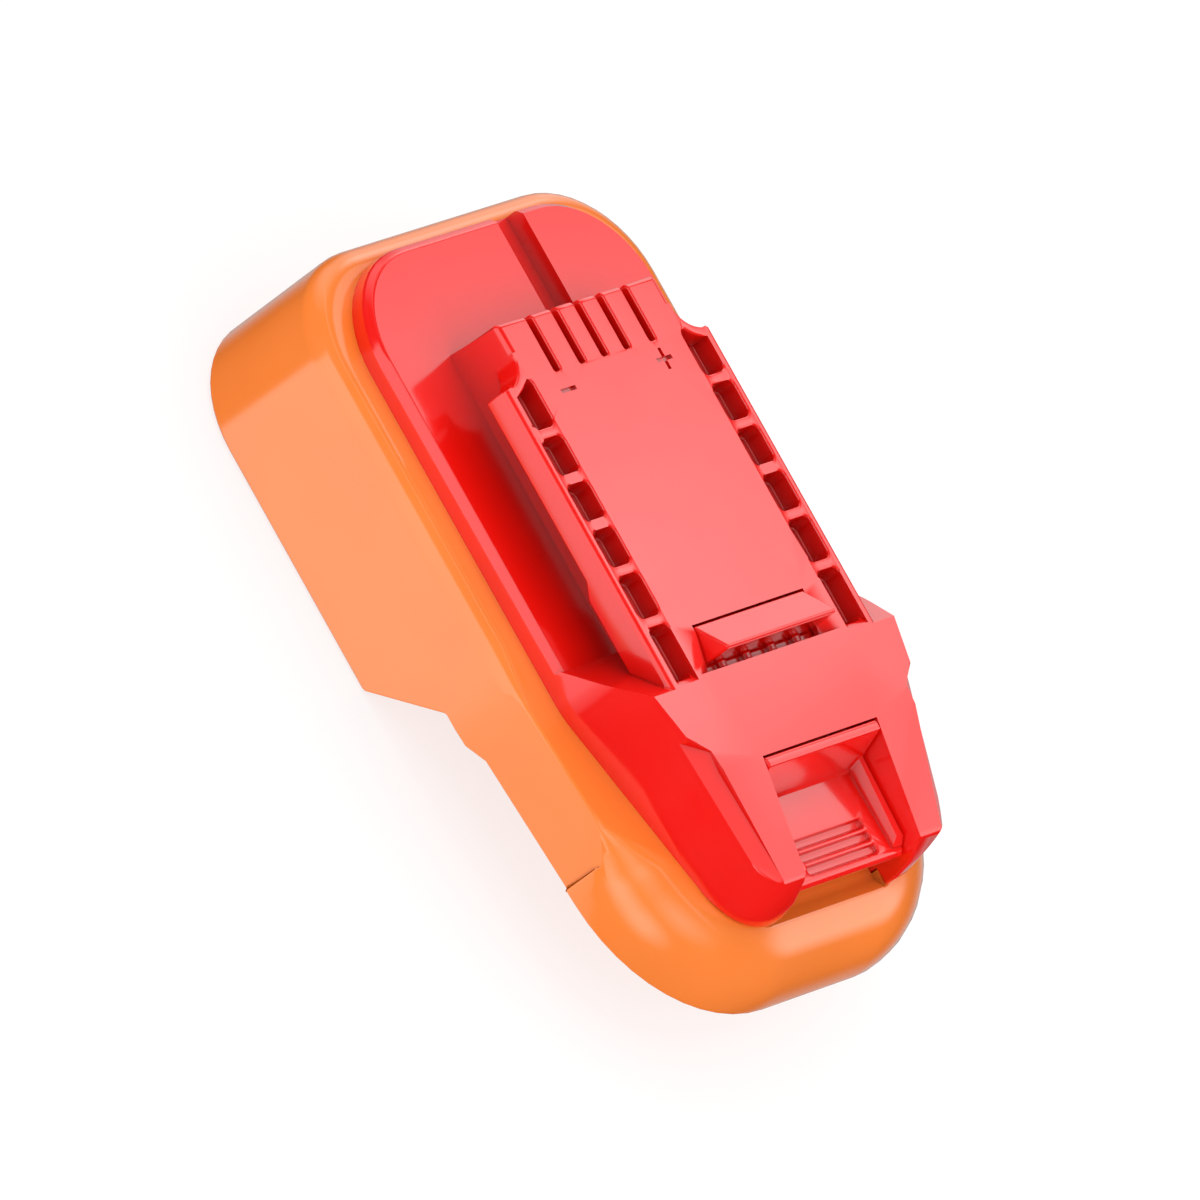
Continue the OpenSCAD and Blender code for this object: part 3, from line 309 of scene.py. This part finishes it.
def two_zones(name, first, second, test, rough, second_metal):
    """A small part of two stuffs, told apart by where a point lies."""
    material, tree, surface, place = begin(name)
    zone = test(tree, place)
    patch = blots(tree, place, 1.2, 0.86, 1.12, 3.0)
    both = add(tree, "ShaderNodeMix", {0: zone, 6: first, 7: second}, 2, data_type="RGBA")
    look = {
        "Base Color": add(tree, "ShaderNodeMix", {0: 1.0, 6: both, 7: patch}, 2, **TINT),
        "Roughness": blots(tree, place, 1.2, rough * 0.85, rough * 1.2, 3.0),
        "Metallic": add(tree, "ShaderNodeMath", {0: zone, 1: second_metal}, operation="MULTIPLY"),
        "Normal": add(tree, "ShaderNodeBump", {"Height": patch, "Distance": 0.016 * MM, "Strength": 0.4}),
    }
    fill(tree, surface, look)
    return material


def beyond(axis, mm, both=False):
    """A test that is 1 past mm along an axis, on both sides of the middle if asked."""

    def test(tree, place):
        value = add(tree, "ShaderNodeSeparateXYZ", {0: place}, axis)
        if both:
            value = add(tree, "ShaderNodeMath", {0: value}, operation="ABSOLUTE")
        return add(tree, "ShaderNodeMath", {0: value, 1: mm * MM}, operation="GREATER_THAN")

    return test


def traces(tree, place):
    """A test that is 1 on wavy copper tracks about 0.8 mm wide, laid every 3 mm."""
    bend = blots(tree, place, 9, 0, 8 * MM, 0.0)
    lane = add(tree, "ShaderNodeSeparateXYZ", {0: place}, 0)
    lane = add(tree, "ShaderNodeMath", {0: bend, 1: lane}, operation="ADD")
    lane = add(tree, "ShaderNodeMath", {0: lane, 1: 1 / (3 * MM)}, operation="MULTIPLY")
    lane = add(tree, "ShaderNodeMath", {0: lane}, operation="FRACT")
    return add(tree, "ShaderNodeMath", {0: lane, 1: 0.27}, operation="LESS_THAN")


def finish_nodes(material, *nodes):
    """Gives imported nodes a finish."""
    for node in nodes:
        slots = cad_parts[node].data.materials
        slots.clear()
        slots.append(material)


# ---------------------------------------------------------------- shapes


def mesh_object(name, points, faces):
    """Makes an object from points and faces, at the origin, in the scene."""
    mesh = bpy.data.meshes.new(name)
    mesh.from_pydata(np.asarray(points).tolist(), [], [list(map(int, f)) for f in faces])
    mesh.update()
    item = bpy.data.objects.new(name, mesh)
    bpy.context.scene.collection.objects.link(item)
    return item


def welded(node):
    """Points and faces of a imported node, with its loose triangles welded and its flat parts joined."""
    shape = bmesh.new()
    shape.from_mesh(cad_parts[node].data)
    bmesh.ops.remove_doubles(shape, verts=shape.verts, dist=WELD)
    bmesh.ops.dissolve_limit(shape, angle_limit=FLAT, verts=shape.verts, edges=shape.edges)
    for part in (shape.verts, shape.edges, shape.faces):
        part.index_update()
        part.ensure_lookup_table()
    return shape


def crossings(outline):
    """Numbers of the sides of a flat outline that cross another side."""
    start, way = outline, np.roll(outline, -1, 0) - outline
    gap = start[None] - start[:, None]
    turn = way[:, None, 0] * way[None, :, 1] - way[:, None, 1] * way[None, :, 0]
    turn[np.abs(turn) < SIDE_BY_SIDE] = np.inf
    here = (gap[..., 0] * way[None, :, 1] - gap[..., 1] * way[None, :, 0]) / turn
    there = (gap[..., 0] * way[:, None, 1] - gap[..., 1] * way[:, None, 0]) / turn
    met = [(at > INSIDE) & (at < 1 - INSIDE) for at in (here, there)]
    return np.unique(np.argwhere(met[0] & met[1]))


def folded(face):
    """Points of a face at the sides where its outline crosses itself."""
    flat = [i for i in range(3) if i != max(range(3), key=lambda k: abs(face.normal[k]))]
    outline = np.array([v.co for v in face.verts])[:, flat]
    count = len(outline)
    return [face.verts[k % count] for i in crossings(outline) for k in (i, i + 1)]


def soften(shape, width, steps):
    """Rounds the hard edges, and leaves an edge hard where its round would run past its neighbours.

    A trial that throws a point far from every corner or out of the shape's box, or folds a face
    over itself, is made again with the edges of those corners left hard.
    """
    corners = KDTree(len(shape.verts))
    for v in shape.verts:
        corners.insert(v.co, v.index)
    corners.balance()
    points = np.array([v.co for v in shape.verts])
    low, high = points.min(0) - WELD, points.max(0) + WELD
    hard = [e.index for e in shape.edges if e.calc_face_angle(0.0) > HARD]
    kept = set()
    wrong = True
    while wrong:
        trial = shape.copy()
        trial.edges.ensure_lookup_table()
        trial.verts.index_update()
        edges = [trial.edges[i] for i in hard]
        edges = [e for e in edges if not any(v.index in kept for v in e.verts)]
        bmesh.ops.bevel(
            trial,
            geom=edges,
            offset=width,
            offset_type="OFFSET",
            segments=steps,
            profile=0.5,
            affect="EDGES",
            miter_outer="ARC",
            loop_slide=False,
        )
        trial.normal_update()
        wrong = {v for f in trial.faces if len(f.verts) > 4 for v in folded(f)}
        for v in trial.verts:
            place = np.array(v.co)
            outside = np.any((place < low) | (place > high))
            if outside or corners.find(v.co)[2] > REACH * width:
                wrong.update(u for f in v.link_faces if len(f.verts) <= 6 for u in f.verts)
        found = {i for _, i, d in (corners.find(v.co) for v in wrong) if d <= REACH * width}
        wrong = found - kept
        kept |= found
    return trial


def stroke(middle, along, across):
    """Outline of a minus sign, counter-clockwise: a bar with half lengths along X and along Y."""
    return [(middle[0] + along * i, middle[1] + across * j) for i, j in SQUARE]


def cross(middle, reach, half):
    """Outline of a plus sign, counter-clockwise: a corner's three points turned by quarters."""
    corner = np.array([(half, -reach), (half, -half), (reach, -half)])
    turns = [np.array(((c, -s), (s, c))) for c, s in ((1, 0), (0, 1), (-1, 0), (0, -1))]
    return [tuple(point) for turn in turns for point in corner @ turn.T + middle]


def engrave(shape, level, cuts, depth):
    """Cuts signs into a level top: the top is filled again around each outline.

    A cut is the outline at the top and the one at its bottom, joined by a wall of quads.
    """
    top = {f for f in shape.faces if f.normal.z > 0.9999 and abs(f.verts[0].co.z - level) < WELD}
    rim = {e for f in top for e in f.edges if not top.issuperset(e.link_faces)}
    bmesh.ops.delete(shape, geom=list(top), context="FACES_ONLY")
    loose = [e for e in shape.edges if not e.link_faces and e not in rim]
    bmesh.ops.delete(shape, geom=loose, context="EDGES")
    for upper, lower in cuts:
        high = [shape.verts.new((x, y, level)) for x, y in upper]
        low = [shape.verts.new((x, y, level - depth)) for x, y in lower]
        for i in range(len(high)):
            shape.faces.new((high[i - 1], high[i], low[i], low[i - 1]))
            rim.add(shape.edges.get((high[i - 1], high[i])))
        shape.faces.new(low)
    bmesh.ops.triangle_fill(shape, use_beauty=True, edges=list(rim), normal=(0, 0, 1))
    shape.normal_update()


def polarity_cuts():
    """Outlines of a minus sign on the left and a plus sign on the right, at the top and the bottom."""
    size = sizes()
    cuts = [[], []]
    for lean in (0, size.sign_slope):
        reach, half = size.sign_size / 2 - lean, size.sign_stroke / 2 - lean
        cuts[0].append(stroke((-size.sign_x, size.sign_y), reach, half))
        cuts[1].append(cross((size.sign_x, size.sign_y), reach, half))
    return cuts


def shell(name, node, body, slot, material, level=0, cuts=(), depth=0):
    """Makes the finished copy of a moulded node, with rounded edges and flat faces that shade flat."""
    mesh = bpy.data.meshes.new(name)
    shape = soften(welded(node), sizes().edge_round, sizes().edge_steps)
    bmesh.ops.remove_doubles(shape, verts=shape.verts, dist=WELD)
    if cuts:
        engrave(shape, level, cuts, depth)
    bmesh.ops.triangulate(shape, faces=[f for f in shape.faces if len(f.verts) > 4])
    shape.to_mesh(mesh)
    for layer in [a.name for a in mesh.attributes if a.name == "custom_normal"]:
        mesh.attributes.remove(mesh.attributes[layer])
    mesh.shade_smooth()
    mesh.set_sharp_from_angle(angle=CREASE)
    mesh.materials.clear()
    mesh.materials.append(material)
    item = bpy.data.objects.new(name, mesh)
    bpy.context.scene.collection.objects.link(item)
    flat = item.modifiers.new("flat_faces", "WEIGHTED_NORMAL")
    flat.keep_sharp = True
    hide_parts(node)
    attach(item, body)
    return item


def tube(rings, around):
    """Quads that join each ring of points to the next."""
    i, j = np.meshgrid(np.arange(rings - 1), np.arange(around), indexing="ij")
    k = (j + 1) % around
    quads = [i * around + j, i * around + k, (i + 1) * around + k, (i + 1) * around + j]
    return np.stack(quads, -1).reshape(-1, 4)


def wound_wire(name, centre, low, high, radius, wire, turns, around=14, per_turn=40):
    """Coil spring: a circle swept along a helix.

    Along the wire, the angle grows evenly while the height rises slowly in the first and last
    three quarters of a turn, so that the ends lie flat, and evenly between them. The circle
    stands across the helix, on the outward direction and on its cross with the way ahead.
    """
    t = np.linspace(0, turns, int(turns * per_turn) + 1)
    angle = 2 * math.pi * t
    rise = np.clip((t - FLAT_TURNS) / (turns - 2 * FLAT_TURNS), 0, 1)
    pitch_end = wire * FLAT_PITCH
    span = high - low - wire - 2 * pitch_end
    ends = np.clip(t / FLAT_TURNS, 0, 1) + np.clip((t - turns + FLAT_TURNS) / FLAT_TURNS, 0, 1)
    height = low + wire / 2 + rise * span + ends * pitch_end
    path = np.stack([radius * np.cos(angle), radius * np.sin(angle), height], 1)
    ahead = np.gradient(path, axis=0)
    ahead /= np.linalg.norm(ahead, axis=1, keepdims=True)
    out = np.stack([np.cos(angle), np.sin(angle), np.zeros_like(angle)], 1)
    side = np.cross(ahead, out)
    turn = np.linspace(0, 2 * math.pi, around, endpoint=False)
    ring = out[:, None] * np.cos(turn)[None, :, None] + side[:, None] * np.sin(turn)[None, :, None]
    points = (path[:, None] + ring * wire / 2).reshape(-1, 3) + np.array([*centre, 0])
    last = (len(t) - 1) * around
    faces = [*tube(len(t), around), range(around - 1, -1, -1), range(last, last + around)]
    item = mesh_object(name, points, faces)
    item.data.shade_smooth()
    own = item.data.uv_layers.new(name="wire")
    corner = np.empty(len(item.data.loops), np.int32)
    item.data.loops.foreach_get("vertex_index", corner)
    uv = np.stack([corner // around / per_turn, corner % around / around], 1)
    own.data.foreach_set("uv", uv.astype(np.float32).ravel())
    return item


# ---------------------------------------------------------------- operators


class ADAPTER_OT_shells(bpy.types.Operator):
    """Makes the orange shell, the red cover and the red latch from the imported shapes"""

    bl_idname = "adapter.shells"
    bl_label = "Shells"

    def execute(self, context):
        # Gloss red gives deep walls, and tops that go pale where they mirror a lit panel
        red = moulded_plastic("red_gloss_abs", colours().red, 0.17)
        # Satin orange gives even flats, with soft wide highlights along the rounded nose
        orange = moulded_plastic("orange_satin_abs", colours().orange, 0.2)
        shell("orange_shell", "lower_housing", "housing", "orange_plastic", orange)
        # The signs are cut into the cover's highest face
        signs = (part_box("upper_housing")[1].z, polarity_cuts(), sizes().sign_depth)
        shell("red_cover", "upper_housing", "housing", "red_plastic", red, *signs)
        shell("red_latch", "release_latch", "latch", "red_plastic", red)
        return {"FINISHED"}


class ADAPTER_OT_springs(bpy.types.Operator):
    """Winds the two latch springs"""

    bl_idname = "adapter.springs"
    bl_label = "Springs"

    def execute(self, context):
        wire = drawn_wire()
        for node in ("latch_spring_left", "latch_spring_right"):
            low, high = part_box(node)
            middle = (low + high) / 2
            radius = (high.x - low.x - sizes().wire_d) / 2
            place = (middle.x, middle.y), low.z, high.z
            item = wound_wire(node + "_wire", *place, radius, sizes().wire_d, SPRING_TURNS)
            item.data.materials.append(wire)
            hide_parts(node)
            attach(item, "housing")
            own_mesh(item)
        return {"FINISHED"}


class ADAPTER_OT_inner_parts(bpy.types.Operator):
    """Gives the contacts, the board and the screws their finishes"""

    bl_idname = "adapter.inner_parts"
    bl_label = "Inner parts"

    def execute(self, context):
        tint = colours()
        finish_nodes(glass_filled_plastic(), "tool_terminal_block", "battery_terminal_block")
        # Stamped brass gives warm bands that run along the blades
        brass = metal("stamped_brass", tint.brass, 0.26, 0.35, (1, 8, 1))
        finish_nodes(
            brass,
            "tool_clip_negative",
            "tool_clip_positive",
            "tool_signal_clip_left",
            "tool_signal_clip_middle",
            "tool_signal_clip_right",
            "battery_blade_negative",
            "battery_blade_positive",
            "battery_signal_blades",
        )
        # Rolled copper gives a redder, duller metal than the brass beside it
        copper = metal("rolled_copper", tint.copper, 0.34, 0.4, (1, 10, 1))
        finish_nodes(copper, "bus_strip_negative", "bus_strip_positive")
        # Zinc plate gives a cool, slightly cloudy grey on the screws
        zinc = metal("zinc_plated_steel", tint.zinc, 0.38, 0.6, (1, 1, 1))
        finish_nodes(zinc, "housing_screws", "board_screws", "terminal_block_screws")
        # Solder mask gives dark green with paler copper tracks under it
        mask = two_zones("green_solder_mask", tint.mask, tint.track, traces, 0.32, 0.0)
        finish_nodes(mask, "circuit_board")
        # Moulded resin gives dull black bodies, with bright tin on the legs that stick out
        leg_mm = 0.9
        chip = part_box("control_chip")[1].x / MM - leg_mm
        resin = two_zones("resin_and_tin", tint.resin, tint.tin, beyond(0, chip, True), 0.48, 1.0)
        finish_nodes(resin, "control_chip")
        slab = two_zones("moulded_resin", tint.resin, tint.pale_resin, traces, 0.5, 0.0)
        finish_nodes(slab, "power_transistors")
        # The can gives a blue sleeve with a bare aluminium top
        lid_mm = 0.05
        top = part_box("filter_capacitor")[1].z / MM - lid_mm
        can = two_zones("sleeved_can", tint.sleeve, tint.can, beyond(2, top), 0.35, 1.0)
        finish_nodes(can, "filter_capacitor")
        return {"FINISHED"}


def tent_levels(way):
    """Brightness of the light tent in each direction, from the lit panels on it.

    A panel is full inside its inner angle and falls evenly to nothing at its outer angle. The strip
    overhead falls off to its sides. The panel on the left runs from below to high up, and grows
    towards its front end.
    """
    level = np.full(len(way), TENT_DARK)
    for middle, inner, outer, most in PANELS:
        middle = np.array(middle) / np.linalg.norm(middle)
        angle = np.degrees(np.arccos(np.clip(way @ middle, -1, 1)))
        level += most * np.clip((outer - angle) / (outer - inner), 0, 1)
    x, y, z = way.T
    overhead = STRIP_LEVEL * np.clip(1 - np.abs(x - STRIP_X) / STRIP_HALF, 0, 1) * (z > 0)
    level += overhead * np.clip((STRIP_REACH - np.abs(y - STRIP_Y)) / STRIP_FADE, 0, 1)
    left = np.clip((LEFT_EDGE - x) / LEFT_FADE, 0, 1)
    level += left * np.interp(y, LEFT_PLACES, LEFT_LEVELS)
    return level


def light_tent(rows=180, columns=360):
    """A tent seen only in gloss: a sphere around Y whose points carry their direction's brightness."""
    turn = np.linspace(0, 2 * math.pi, columns, endpoint=False)
    rise = np.radians(np.linspace(-89.5, 89.5, rows))
    rise, turn = np.meshgrid(rise, turn, indexing="ij")
    way = [np.cos(rise) * np.sin(turn), np.sin(rise), np.cos(rise) * np.cos(turn)]
    way = np.stack(way, -1).reshape(-1, 3)
    points = way * TENT_RADIUS + (0, 0, TENT_HEIGHT)
    tent = mesh_object("light_tent", points, tube(rows, columns))
    glow = tent.data.attributes.new("glow", "FLOAT", "POINT")
    glow.data.foreach_set("value", tent_levels(way).astype(np.float32))
    material, tree, surface, _ = begin("tent_cloth")
    look = {
        "Base Color": (0, 0, 0, 1),
        "Specular IOR Level": 0.0,
        "Emission Color": (1, 1, 1, 1),
        "Emission Strength": add(tree, "ShaderNodeAttribute", {}, "Fac", attribute_name="glow"),
    }
    fill(tree, surface, look)
    tent.data.materials.append(material)
    tent.visible_camera = False
    tent.visible_diffuse = False
    tent.visible_shadow = False
    tent.visible_transmission = False


def paper_floor():
    """A sheet of white paper under the part, which shows a faint shadow."""
    corners = [(FLOOR_HALF * i, FLOOR_HALF * j, -FLOOR_DROP) for i, j in SQUARE]
    floor = mesh_object("studio_floor", corners, [(0, 1, 2, 3)])
    material, tree, surface, place = begin("white_paper")
    drift = blots(tree, place, 60, 0.98, 1.0)
    below = add(tree, "ShaderNodeNewGeometry", {}, "Backfacing")
    look = {
        "Base Color": add(tree, "ShaderNodeMix", {0: 1.0, 6: colours().floor, 7: drift}, 2, **TINT),
        "Roughness": 0.9,
        "Specular IOR Level": 0.0,
        # Part of the paper's white is its own, so that a shadow on it stays faint
        "Emission Color": (1, 1, 1, 1),
        "Emission Strength": PAPER_GLOW,
        # The paper is clear from below, so that the underside can be seen
        "Alpha": add(tree, "ShaderNodeMath", {0: 1.0, 1: below}, operation="SUBTRACT"),
    }
    fill(tree, surface, look)
    floor.data.materials.append(material)
    # Gloss sees the tent's lower half and not the floor
    floor.visible_glossy = False


def photo_camera():
    """A camera with a long lens, which looks at the part as the photograph does."""
    right, up = Vector(VIEW_RIGHT), Vector(VIEW_UP)
    back = right.cross(up).normalized()
    up = back.cross(right).normalized()
    right.normalize()
    view = bpy.data.cameras.new("photo_view")
    view.lens = LENS
    view.sensor_width = SENSOR
    view.clip_end = VIEW_END
    eye = Vector(VIEW_MIDDLE) * MM + back * (PICTURE_MM * MM * view.lens / view.sensor_width)
    camera = bpy.data.objects.new("photo_view", view)
    bpy.context.scene.collection.objects.link(camera)
    turn = Matrix((right, up, back)).transposed().to_4x4()
    camera.matrix_world = Matrix.Translation(eye) @ turn
    bpy.context.scene.camera = camera


class ADAPTER_OT_stage(bpy.types.Operator):
    """Sets the floor, the soft light and the camera"""

    bl_idname = "adapter.stage"
    bl_label = "Stage"

    def execute(self, context):
        scene = context.scene
        scene.view_settings.view_transform = "Standard"
        paper_floor()
        light_tent()
        world = bpy.data.worlds.new("white_room")
        scene.world = world
        world.use_nodes = True
        room = {"Color": (1, 1, 1, 1), "Strength": ROOM_LIGHT}
        fill(world.node_tree, world.node_tree.nodes["Background"], room)
        photo_camera()
        return {"FINISHED"}


class ADAPTER_PT_panel(bpy.types.Panel):
    """Lists the build steps, the sizes and the colours"""

    bl_idname = "ADAPTER_PT_panel"
    bl_label = "Tool battery adapter"
    bl_space_type = "VIEW_3D"
    bl_region_type = "UI"
    bl_category = "Adapter"

    def draw(self, context):
        for step in STEPS:
            self.layout.operator(step.bl_idname)
        for group in (context.scene.adapter_sizes, context.scene.adapter_colours):
            box = self.layout.box()
            for key in group.__annotations__:
                box.prop(group, key)


STEPS = (ADAPTER_OT_shells, ADAPTER_OT_springs, ADAPTER_OT_inner_parts, ADAPTER_OT_stage)
CLASSES = (AdapterSizes, AdapterColours, *STEPS, ADAPTER_PT_panel)


def register():
    for item in CLASSES:
        bpy.utils.register_class(item)
    bpy.types.Scene.adapter_sizes = PointerProperty(type=AdapterSizes)
    bpy.types.Scene.adapter_colours = PointerProperty(type=AdapterColours)


def unregister():
    del bpy.types.Scene.adapter_sizes
    del bpy.types.Scene.adapter_colours
    for item in reversed(CLASSES):
        bpy.utils.unregister_class(item)


def main():
    register()
    bpy.ops.adapter.shells()
    bpy.ops.adapter.springs()
    bpy.ops.adapter.inner_parts()
    bpy.ops.adapter.stage()


if __name__ == "__main__":
    main()
